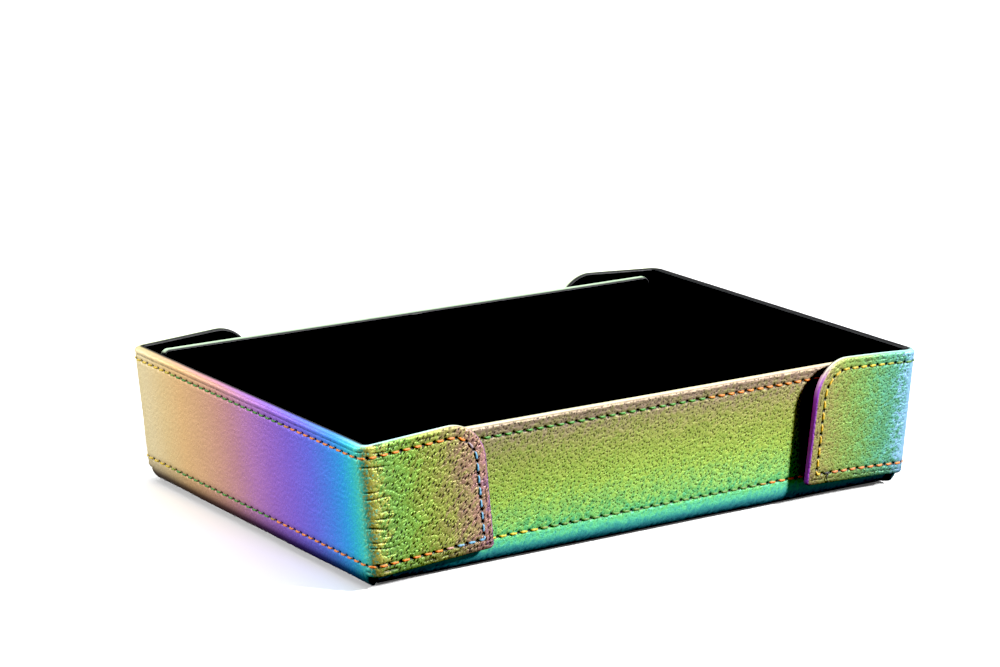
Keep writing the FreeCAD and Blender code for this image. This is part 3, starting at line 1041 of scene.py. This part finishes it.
def wall_pieces(name, look, side, half, start, end, relief, rows):
    """Leatherette, velvet and stitches of a wall, its top edge turned, and its ends too on a long wall."""
    body, is_long = f"{name}_wall", look == "long"
    free = "left right top" if is_long else "top"

    def spans(inset):
        reach = half - inset if is_long else half
        return (-reach, reach), (start, end - inset)

    def radii(radius):
        return (0, 0, radius, radius) if is_long else ()

    cover = Sheet(*spans(EDGE_R), GRAIN_STEP, free, radii(LONG_TOP_R - EDGE_R))
    thing = leather_sheet(f"{body}_leather", cover, side, relief, rows)
    finish_piece(thing, look, [f"{body}_cover"], body)
    lining = lining_sheet(*spans(VELVET_IN), VELVET_STEP, free, radii(1.6))
    thing = velvet_piece(f"{body}_velvet", lining, side, f"{body}_lining", body)
    thing = thread(f"{body}_stitches", side, rows)
    finish_piece(thing, f"{look}_thread", [f"{body}_thread"], body)


def bent_pieces(name, look, side, cover, lining, relief, rows, outer, inner):
    """Leatherette and velvet of a fold; outer and inner, the bodies on both sides and the fold's ends, are
    handed on for each sheet but hang it from no body.
    """
    cover.add_back_grid()
    thing = leather_sheet(f"{name}_leather_sheet", cover, side, relief, rows)
    finish_piece(thing, look, [f"{name}_leather"], outer)
    lining.add_back_grid()
    velvet_piece(f"{name}_velvet_sheet", lining, side, f"{name}_velvet", inner)


def base_fold(name, look, side, start, end, floor_half, wall_half, relief, reach):
    """The fold between the base and a wall."""
    wide = widened(side, floor_half, wall_half, start, reach)
    outer, inner = (("base", f"{name}_wall", *chord(side, (0.0, start), (0.0, end), depth))
                    for depth in (PANEL / 2, PANEL))
    half = floor_half - EDGE_R
    cover = Sheet((-half, half), (start, end), GRAIN_STEP, "left right")
    half = floor_half - VELVET_IN
    lining = lining_sheet((-half, half), (start, end), 1.0, "left right")
    bent_pieces(f"{name}_fold", look, wide, cover, lining, relief, [], outer, inner)


def corner_pieces(name, look, side):
    """The fold between an end wall and a tab, and its stitches."""
    start, end = (0.0, END_TOP / 2), (CORNER_LENGTH, END_TOP / 2 + CORNER_R * TAPER)
    outer, inner = ((f"{look}_wall", f"{name}_tab", *chord(side, start, end, depth))
                    for depth in (0.0, PANEL))
    along, rows = (0, CORNER_LENGTH), corner_rows()
    cover = Sheet(along, (TAB_FOOT + EDGE_R, END_TOP - EDGE_R), TAB_STEP, "bottom top")
    lining = lining_sheet(along, (TAB_FOOT + VELVET_IN, END_TOP - VELVET_IN), 0.9, "bottom top")
    bent_pieces(f"{name}_corner", look, side, cover, lining, end_relief, rows, outer, inner)
    thing = thread(f"{name}_corner_stitches", side, rows)
    finish_piece(thing, f"{look}_thread", [], outer)


def magnet_disc(name, side):
    """A plated disc with rounded edges, turned from its outline."""
    near, far = MAGNET_DEPTHS
    outline = [(1.6, near), (3.2, near), (3.8, near + 0.05), (3.95, near + 0.2)]
    outline += [(3.95, far - 0.25), (3.8, far - 0.07), (3.2, far - 0.02), (1.6, far - 0.02)]
    count = 48
    middle_u, middle_v = MAGNET_AT
    angle = np.linspace(0, 2 * math.pi, count, endpoint=False)
    points = [side.place(middle_u + r * np.cos(angle), middle_v + r * np.sin(angle), np.full(count, depth))
              for r, depth in outline]
    points = np.concatenate(points)
    index = np.arange(len(points)).reshape(-1, count)
    quads = [np.stack([a, b, np.roll(b, -1), np.roll(a, -1)], -1) for a, b in zip(index, index[1:])]
    flat = (np.full(len(points), middle_u), np.full(len(points), middle_v))
    return make_object(name, points, np.concatenate(quads), [index[0], index[-1][::-1]], flat, side.turned)


def magnet_pocket(u, v, depth):
    """The felt is cut away behind its face where the magnet sits."""
    inside = np.hypot(u - MAGNET_AT[0], v - MAGNET_AT[1]) < MAGNET_R + 0.5
    return np.where(inside, MAGNET_DEPTHS[0] - 0.05, depth)


def tab_outline(inset):
    """Spans and corner radii of a tab's sheet whose outline is this far in from the tab's own."""
    radii = (0, max(TAB_FOOT_R - inset, 0.3), TAB_TOP_R - inset, 0)
    return (CORNER_LENGTH, TAB_END - inset), (TAB_FOOT + inset, END_TOP - inset), radii


def tab_pieces(name, look, side):
    body, free = f"{name}_tab", "right bottom top"
    u_span, v_span, radii = tab_outline(EDGE_R)
    cover = Sheet(u_span, v_span, TAB_STEP, free, radii)
    thing = leather_sheet(f"{body}_leather", cover, side, end_relief, tab_rows(), ends_dark=4.3)
    finish_piece(thing, look, [f"{body}_cover"], body)
    u_span, v_span, radii = tab_outline(VELVET_IN)
    lining = lining_sheet(u_span, v_span, 0.9, free, radii)
    lining.add_back_grid()
    thing = velvet_piece(f"{body}_velvet", lining, side, f"{body}_lining", body)
    u_span, v_span, radii = tab_outline(FELT_IN)
    pad = Sheet(u_span, v_span, 0.8, free, radii, FELT_EDGE, FELT_FACE, FELT_BACK)
    pad.add_back_grid(magnet_pocket)
    points, flat = side.place(pad.u, pad.v, pad.d), side.flat(pad.flat_u, pad.flat_v)
    thing = make_object(f"{body}_felt", points, *pad.faces(), flat, side.turned)
    finish_piece(thing, "felt", [f"{body}_filler"], body)
    thing = magnet_disc(f"{body}_magnet_disc", side)
    finish_piece(thing, "nickel_plate", [f"{body}_magnet"], body)
    extra = [loose_end(side)] if name == "front_right" else []
    thing = thread(f"{body}_stitches", side, tab_rows(), extra)
    finish_piece(thing, f"{look}_thread", [f"{body}_thread"], body)


def tray():
    base_pieces()
    for name, front in FRONTS.items():
        side = long_side(front)
        wall_pieces(name, "long", side, LONG_HALF, LONG_START, LONG_END, long_relief, long_rows())
        base_fold(name, "long", side, HALF_Y, LONG_START, LONG_FLOOR_HALF, LONG_HALF, long_relief, (0.5, 6.6))
    for name, direction in SIDES.items():
        side = end_side(direction)
        wall_pieces(name, name, side, END_HALF, END_START, END_END, end_relief, end_rows())
        base_fold(name, name, side, HALF_X, END_START, END_FLOOR_HALF, END_HALF, end_relief, (0.3, 4.3))
    for front_name, front in FRONTS.items():
        for look, direction in SIDES.items():
            name = f"{front_name}_{look}"
            side = tab_side(direction, front, LOOSE_TAB_FLARE if name == "front_right" else TAB_FLARE)
            corner_pieces(name, look, side)
            tab_pieces(name, look, side)


def kept_nodes():
    """Boards and wall magnets keep their CAD shapes and get materials."""
    for name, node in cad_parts.items():
        if node.hide_render:
            continue
        material = MATERIALS["nickel_plate" if "magnet" in name else "grey_board"]
        if not node.material_slots:
            node.data.materials.append(material)
        for place in node.material_slots:
            place.link = "OBJECT"
            place.material = material


# --- camera, floor and light ---


def camera():
    """The photo's camera, fitted to the tray's corners: a long way off and looking slightly down."""
    yaw, pitch, roll = (math.radians(a) for a in (-33.62, 14.05, 0.12))
    distance, shift_right, shift_up = 1249.7, -9.39, 33.0
    back = Vector((math.sin(yaw) * math.cos(pitch), -math.cos(yaw) * math.cos(pitch), math.sin(pitch)))
    right = Vector((math.cos(yaw), math.sin(yaw), 0))
    up = back.cross(right)
    place = Vector((0, 0, 25)) + right * shift_right + up * shift_up + back * distance
    turned = Matrix.Rotation(roll, 3, back)
    axes = Matrix((turned @ right, turned @ up, back)).transposed()
    data = bpy.data.cameras.new("camera")
    data.sensor_width, data.lens = 36, 116.92
    data.clip_start, data.clip_end = 0.05, 30
    thing = add_object("camera", data)
    thing.matrix_world = Matrix.Translation(place * MM) @ axes.to_4x4()
    bpy.context.scene.camera = thing


def softbox(name, place, aim, width, height, power):
    data = bpy.data.lights.new(name, "AREA")
    data.shape = "RECTANGLE"
    data.size, data.size_y, data.energy = width, height, power
    thing = add_object(name, data)
    thing.location = place
    thing.rotation_mode = "QUATERNION"
    thing.rotation_quaternion = (Vector(aim) - Vector(place)).to_track_quat("-Z", "Y")


def studio():
    half = 5.0
    corners = [(-half, -half, 0), (half, -half, 0), (half, half, 0), (-half, half, 0)]
    mesh = bpy.data.meshes.new("floor")
    mesh.from_pydata(corners, [], [(0, 1, 2, 3)])
    floor = add_object("floor", mesh)
    floor.location.z = -0.0002
    tree = Tree("pale_floor")
    tone = tree.object_noise(3.0, 2.0)
    tree.set(Base_Color=tree.ramp(tone, [(0.3, (243, 243, 244)), (0.7, (247, 247, 247))]))
    tree.set(Roughness=0.9, Specular_IOR_Level=0.1, Emission_Color=(1, 1, 1, 1), Emission_Strength=0.08)
    mesh.materials.append(tree.material)
    floor.visible_diffuse = False
    floor.visible_glossy = False
    softbox("key", (1.25, -1.65, 1.35), (0, 0, 0.03), 0.28, 0.28, 150)
    softbox("left", (-1.8, 0.75, 0.55), (-0.1, 0, 0.03), 1.3, 0.8, 56)
    softbox("top", (0, 1.2, 2.6), (0, 0.3, 0), 3.0, 3.0, 76)
    world = bpy.data.worlds.new("studio")
    world.use_nodes = True
    background = world.node_tree.nodes["Background"]
    background.inputs["Color"].default_value = (1, 1, 1, 1)
    background.inputs["Strength"].default_value = 0.1
    bpy.context.scene.world = world
    view = bpy.context.scene.view_settings
    view.view_transform = "Standard"
    view.use_curve_mapping = True
    view.curve_mapping.black_level = (0.016, 0.016, 0.016)
    view.curve_mapping.update()


tray()
kept_nodes()
camera()
studio()
